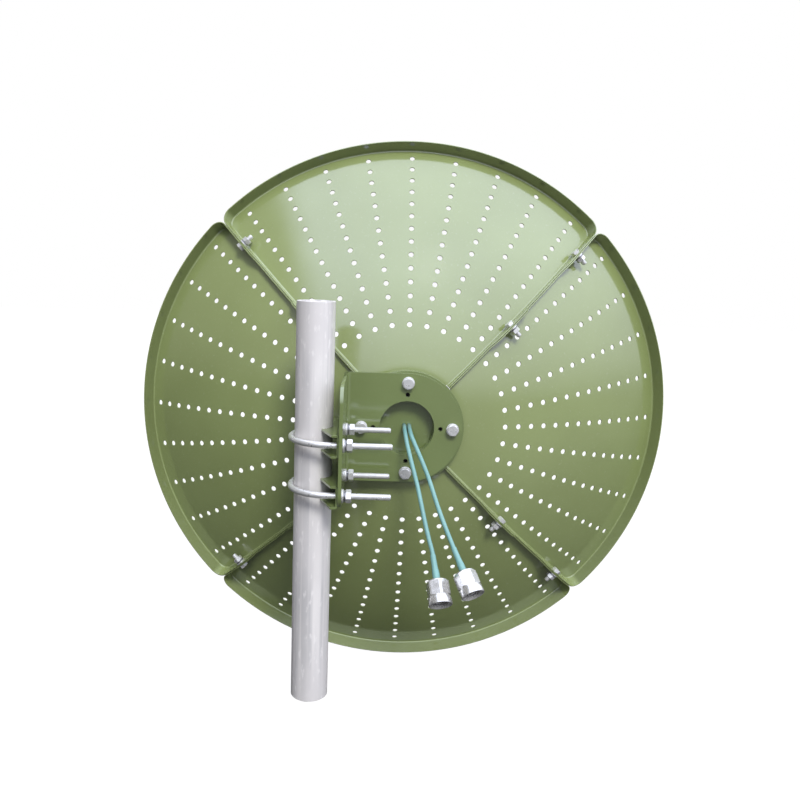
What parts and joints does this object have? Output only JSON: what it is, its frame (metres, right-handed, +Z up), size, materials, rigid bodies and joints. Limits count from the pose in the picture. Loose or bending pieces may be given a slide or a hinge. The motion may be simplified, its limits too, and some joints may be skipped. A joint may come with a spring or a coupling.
{
  "type": "parabolic grid antenna",
  "caption": "Perforated four-petal parabolic dish with a rear bracket that U-bolts clamp to a mast stub, a central feed, and two coaxial pigtails with screw-on connectors.",
  "frame": {"origin": "on the mast stub's axis, at its lower end", "axes": "+Z up along the mast, +Y along the boresight, +X from the mast towards the boresight"},
  "size_m": [0.5546, 0.3246, 0.5546],
  "materials": {
    "olive_paint": "glossy olive-green powder coat",
    "zinc": "bright zinc plating",
    "spring_steel": "zinc-plated spring steel",
    "mast_metal": "pale grey satin tube",
    "aluminium": "satin",
    "radome_plastic": "moulded pale grey plastic",
    "board": "green solder mask",
    "rubber": "matt",
    "coax_jacket": "glossy teal jacket",
    "nickel": "bright nickel plating",
    "ptfe": "white fluoropolymer",
    "gold": "gold plating"
  },
  "bodies": {
    "mast": {"mast_tube": "mast_metal"},
    "antenna": {"petal_top": "olive_paint", "petal_right": "olive_paint", "petal_bottom": "olive_paint", "petal_left": "olive_paint", "seam_bolts": "zinc", "seam_flat_washers": "zinc", "seam_spring_washers": "spring_steel", "seam_nuts": "zinc", "hub_ring": "olive_paint", "hub_disc": "olive_paint", "hub_bolts": "zinc", "hub_bolt_washers": "zinc", "hub_flat_washers": "zinc", "hub_spring_washers": "spring_steel", "hub_nuts": "zinc", "bracket": "olive_paint", "saddle_upper": "olive_paint", "saddle_lower": "olive_paint", "u_bolt_upper": "zinc", "u_bolt_lower": "zinc", "u_bolt_flat_washers": "zinc", "u_bolt_spring_washers": "spring_steel", "u_bolt_nuts": "zinc", "feed_base": "aluminium", "feed_screws": "zinc", "feed_tube": "aluminium", "feed_tube_screws": "zinc", "feed_back_plate": "radome_plastic", "feed_seal": "rubber", "feed_board_h": "board", "feed_board_v": "board", "feed_reflector": "aluminium", "feed_radome": "radome_plastic", "feed_coax_h": "coax_jacket", "feed_coax_v": "coax_jacket", "cable_a": "coax_jacket", "cable_b": "coax_jacket", "sleeve_a": "coax_jacket", "sleeve_b": "coax_jacket", "connector_body_a": "nickel", "connector_body_b": "nickel", "insulator_a": "ptfe", "insulator_b": "ptfe", "center_pin_a": "gold", "center_pin_b": "gold", "gasket_a": "rubber", "gasket_b": "rubber"},
    "nut_a": {"coupling_nut_a": "nickel"},
    "nut_b": {"coupling_nut_b": "nickel"}
  },
  "joints": [
    {"name": "azimuth", "type": "hinge", "parent": "mast", "child": "antenna", "pos_m": [0, 0, 0.22], "axis": [0, 0, 1], "range_deg": [-180, 180]},
    {"name": "nut_a_turn", "type": "hinge", "parent": "antenna", "child": "nut_a", "pos_m": [0.1105, -0.038, 0.1281], "axis": [0.1302, -0.6738, -0.7274], "continuous": true},
    {"name": "nut_b_turn", "type": "hinge", "parent": "antenna", "child": "nut_b", "pos_m": [0.133, -0.039, 0.1368], "axis": [0.3299, -0.6675, -0.6675], "continuous": true}
  ]
}
